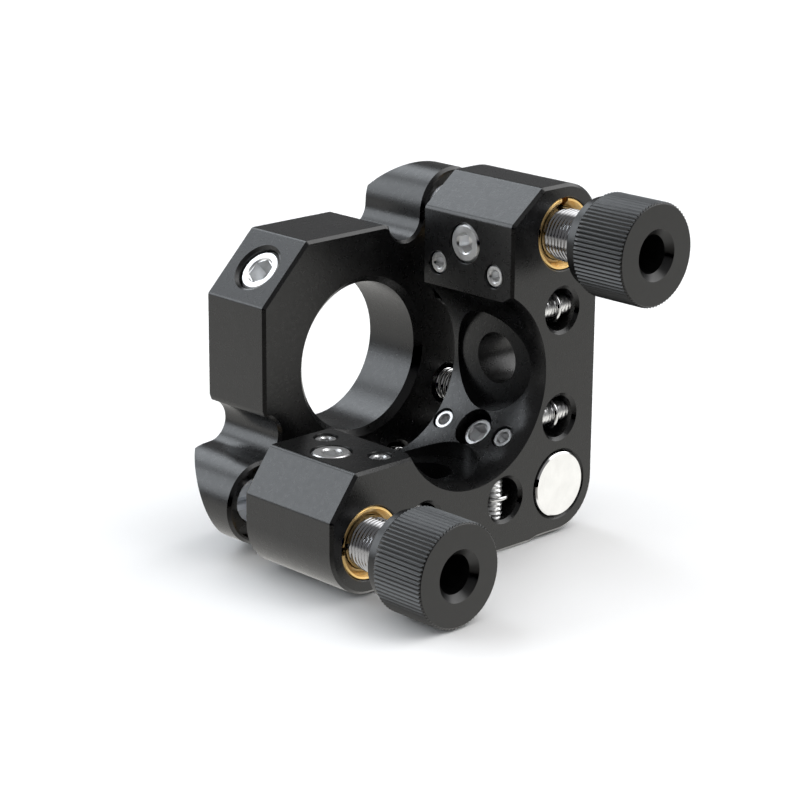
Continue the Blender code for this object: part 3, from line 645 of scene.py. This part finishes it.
def build_bushing(name, x, z, slot_axis):
    inner = SCREW_R + FIT
    profile = [(BUSH_R - EDGE / 4, 0), (BUSH_R, EDGE / 4), (BUSH_R, FRAME_T - BUSH_REAR - FIT),
               (inner, FRAME_T - BUSH_REAR - FIT), (inner, BUSH_EDGE), (inner + BUSH_EDGE, 0)]
    bush = add_object(f"{name}_bushing_fine", turned_mesh("bushing", profile, 128, ring=True),
                      (x, BUSH_REAR, z), ALONG_Y)
    far = BUSH_R + PAST
    half = BUSH_SLOT / 2
    slot = [(-half, 0), (half, 0), (half, far), (-half, far)]
    slot_mesh = stacked_mesh("slot", [(slot, -BUSH_SLOT_DEPTH), (slot, PAST)])
    cutter = add_object("slot", slot_mesh, (x, BUSH_REAR, z), slot_axis, slot_axis.cross(ALONG_Y))
    shape(bush, [cutter])
    finish(bush, MATERIALS["brass"], "frame", f"{name}_bushing")


def knurled_mesh(name, profile):
    """A turned ring whose (radius, height, knurled) points carry the knurl where they say so."""
    bm = bmesh.new()
    count = KNURLS * len(KNURL_SHAPE)
    rows = []
    for radius, height, knurled in profile:
        ring = []
        for i in range(count):
            cut = KNURL_DEPTH * KNURL_SHAPE[i % len(KNURL_SHAPE)] if knurled else 0
            angle = 2 * pi * i / count
            ring.append(bm.verts.new(((radius - cut) * cos(angle), (radius - cut) * sin(angle), height)))
        rows.append(ring)
    joined_rows(bm, rows, True)
    return to_mesh(bm, name)


def build_knob(name, x, z):
    edge, root = KNOB_EDGE, KNURL_DEPTH
    bore = SCREW_SHANK_R + FIT
    depth = SCREW_END - 2 * FIT
    profile = [
        (KNOB_HOLE_R + KNOB_HOLE_EDGE, KNOB_FACE, False),
        (KNOB_R - root - edge, KNOB_FACE, False),
        (KNOB_R - root, KNOB_FACE + edge, False),
        (KNOB_R, KNOB_FACE + edge + root * 0.6, True),
        (KNOB_R, KNOB_STEP - edge, True),
        (KNOB_R - root, KNOB_STEP - edge + root, False),
        (KNOB_R - root - edge, KNOB_STEP, False),
        (COLLAR_R, KNOB_STEP, False),
        (COLLAR_R, COLLAR_END - EDGE, False),
        (COLLAR_R - EDGE, COLLAR_END, False),
        (bore, COLLAR_END, False),
        (bore, depth, False),
        (KNOB_HOLE_R, depth, False),
        (KNOB_HOLE_R, KNOB_FACE + KNOB_HOLE_EDGE, False),
    ]
    knob = add_object(f"{name}_knob_fine", knurled_mesh("knob", profile), (x, 0, z), ALONG_Y)
    finish(knob, MATERIALS["knob_black"], f"{name}_adjuster", f"{name}_knob")


def build_adjuster_screw(name, x, z):
    low, high = SCREW_SHOULDER, SCREW_TIP
    mesh = threaded_mesh("adjuster", SCREW_R, THREAD_DEPTH, PITCH, low, high, THREAD_EDGE, 64)
    screw = add_object(f"{name}_screw_fine", mesh, (x, 0, z), ALONG_Y)
    shank = [(SCREW_SHANK_R - EDGE / 2, SCREW_END), (SCREW_SHANK_R, SCREW_END + EDGE / 2),
             (SCREW_SHANK_R, SCREW_SHOULDER + PAST), (0, SCREW_SHOULDER + PAST)]
    tail = add_object("tail", turned_mesh("tail", shank, 64), (x, 0, z), ALONG_Y)
    shape(screw, [tail], "UNION")
    cup = drill((x, SCREW_TIP, z), -ALONG_Y, BALL_CUP_R, BALL_CUP_DEPTH, 48)
    corner = OPTIC_SCREW_HEX / sqrt(3)
    hexagon = [(corner, -PAST), (corner, OPTIC_SCREW_HEX)]
    socket = add_object("hex", turned_mesh("hex", hexagon, 6), (x, SCREW_END, z), ALONG_Y)
    shape(screw, [cup, socket])
    # The adjuster screw takes the darker steel, whose colour carries painted shade for the dark surroundings
    # it reflects.
    finish(screw, MATERIALS["thread_steel"], f"{name}_adjuster", f"{name}_adjuster_screw")


def build_pivot_pin():
    x, z = SIDE - AXIS, AXIS
    profile = [(PIN_R - PIN_EDGE, PIN_REAR), (PIN_R, PIN_REAR + PIN_EDGE), (PIN_R, PIN_SHOULDER - EDGE),
               (PIN_R - EDGE, PIN_SHOULDER), (PIN_NOSE_R, PIN_SHOULDER), (PIN_NOSE_R, SCREW_TIP - EDGE),
               (PIN_NOSE_R - EDGE, SCREW_TIP)]
    pin = add_object("pivot_pin_fine", turned_mesh("pivot_pin", profile, 128), (x, 0, z), ALONG_Y)
    shape(pin, [drill((x, SCREW_TIP, z), -ALONG_Y, BALL_CUP_R, BALL_CUP_DEPTH, 48)])
    finish(pin, MATERIALS["ball_steel"], "frame", "pivot_pin")


# ---------------------------------------------------------------- springs

def spring_path():
    """The wire's centre line along local Z, from the frame's hook through the coil to the plate's hook."""
    rear_centre = ANCHOR_Y
    front_centre = DOWEL_Y - (HOOK_R - WIRE_R - DOWEL_R - 2 * FIT)
    angles = [radians(step) for step in range(-140, 91, 10)]
    rear = [(0, HOOK_R * sin(a), rear_centre - HOOK_R * cos(a)) for a in angles]
    front = [(0, HOOK_R * sin(a), front_centre + HOOK_R * cos(a)) for a in reversed(angles)]
    steps = COIL_TURNS * COIL_STEPS
    coil = []
    for i in range(steps + 1):
        angle = pi / 2 + 2 * pi * i / COIL_STEPS
        height = COIL_START + (COIL_END - COIL_START) * i / steps
        coil.append((COIL_R * cos(angle), COIL_R * sin(angle), height))
    return rear + coil + front


def build_springs():
    path = spring_path()
    for number, (x, z, pin) in enumerate(spring_places(), 1):
        curve = bpy.data.curves.new(f"return_spring_{number}", "CURVE")
        curve.dimensions = "3D"
        curve.bevel_depth = WIRE_R
        curve.bevel_resolution = 3
        curve.use_fill_caps = True
        spline = curve.splines.new("POLY")
        spline.points.add(len(path) - 1)
        for vertex, position in zip(spline.points, path):
            vertex.co = (*position, 1)
        spline.use_smooth = True
        spring = add_object(f"return_spring_{number}_fine", curve, (x, 0, z), ALONG_Y, pin)
        finish(spring, MATERIALS["spring_steel"], "frame", f"return_spring_{number}")


# ---------------------------------------------------------------- what stays as the CAD made it

def repaint_nodes():
    """The hidden pieces keep their CAD meshes and take the fine materials."""
    slots = {entry["node"]: entry["material_slot"] for entry in frame["record"]["subparts"]}
    for node, item in frame["nodes"].items():
        item.data.materials.clear()
        item.data.materials.append(MATERIALS[slots[node]])


# ---------------------------------------------------------------- stage, light and camera

def build_stage():
    """A pale floor. The black faces and the bright metal mirror the studio instead of the floor."""
    mesh = bpy.data.meshes.new("floor")
    reach = FLOOR_REACH
    corners = [(-reach, -reach, 0), (reach, -reach, 0), (reach, reach, 0), (-reach, reach, 0)]
    mesh.from_pydata(corners, [], [(0, 1, 2, 3)])
    floor = bpy.data.objects.new("floor", mesh)
    bpy.context.scene.collection.objects.link(floor)
    floor.location.z = cad_bounds[0][2] - FLOOR_GAP
    floor.visible_glossy = False
    material = new_material("floor", (0.74, 0.74, 0.74), 0.6, 0.0)[0]
    mesh.materials.append(material)


def add_soft_box(tree, coordinates, behind, direction, start, full, glow):
    """Adds one soft box to the walls, or to the light from the soft boxes before it."""
    dot = tree.nodes.new("ShaderNodeVectorMath")
    dot.operation = "DOT_PRODUCT"
    dot.inputs[1].default_value = direction
    tree.links.new(coordinates, dot.inputs[0])
    edge = tree.nodes.new("ShaderNodeMapRange")
    edge.interpolation_type = "SMOOTHSTEP"
    edge.inputs["From Min"].default_value = start
    edge.inputs["From Max"].default_value = full
    tree.links.new(dot.outputs["Value"], edge.inputs["Value"])
    scaled = tree.nodes.new("ShaderNodeVectorMath")
    scaled.operation = "SCALE"
    scaled.inputs[0].default_value = glow
    tree.links.new(edge.outputs["Result"], scaled.inputs["Scale"])
    added = tree.nodes.new("ShaderNodeVectorMath")
    added.operation = "ADD"
    added.inputs[0].default_value = STUDIO_DIM
    if behind:
        tree.links.new(behind, added.inputs[0])
    tree.links.new(scaled.outputs["Vector"], added.inputs[1])
    return added.outputs["Vector"]


def build_lights():
    """The studio: dim walls with soft boxes in them, and one lamp overhead for the floor."""
    world = bpy.data.worlds.new("studio")
    world.use_nodes = True
    tree = world.node_tree
    coordinates = tree.nodes.new("ShaderNodeTexCoord")
    colour = None
    for box in SOFT_BOXES:
        colour = add_soft_box(tree, coordinates.outputs["Generated"], colour, *box)
    tree.links.new(colour, tree.nodes["Background"].inputs["Color"])
    bpy.context.scene.world = world
    light = bpy.data.lights.new("floor_box", "AREA")
    light.shape = "SQUARE"
    light.size = LAMP_SIZE
    light.energy = LAMP_WATTS
    lamp = bpy.data.objects.new("floor_box", light)
    bpy.context.scene.collection.objects.link(lamp)
    lamp.location = LAMP_PLACE
    lamp.rotation_euler = (-LAMP_PLACE).to_track_quat("-Z", "Y").to_euler()
    lamp.visible_glossy = False
    bpy.context.scene.view_settings.view_transform = "Standard"


def build_camera():
    azimuth, elevation, roll = (radians(a) for a in (CAMERA_AZIMUTH, CAMERA_ELEVATION, CAMERA_ROLL))
    back = Vector((sin(azimuth) * cos(elevation), -cos(azimuth) * cos(elevation), sin(elevation)))
    right = Vector((cos(azimuth), sin(azimuth), 0))
    up = back.cross(right)
    rolled_right = right * cos(roll) + up * sin(roll)
    rolled_up = up * cos(roll) - right * sin(roll)
    data = bpy.data.cameras.new("camera")
    data.lens, data.sensor_width = LENS, SENSOR
    data.clip_start, data.clip_end = 0.01, 20
    camera = bpy.data.objects.new("camera", data)
    bpy.context.scene.collection.objects.link(camera)
    matrix = Matrix((rolled_right, rolled_up, back)).transposed().to_4x4()
    matrix.translation = plate_point(CAMERA_AIM) + back * CAMERA_DISTANCE
    camera.matrix_world = matrix
    bpy.context.scene.camera = camera


repaint_nodes()
build_frame()
build_plate()
build_clamp_screws()
for side, (x, z), slot_axis in (
    ("lower", (AXIS, AXIS), -ALONG_X),
    ("upper", (SIDE - AXIS, SIDE - AXIS), ALONG_Z),
):
    build_bushing(side, x, z, slot_axis)
    build_adjuster_screw(side, x, z)
    build_knob(side, x, z)
build_pivot_pin()
build_springs()
build_stage()
build_lights()
build_camera()

bpy.context.view_layer.update()
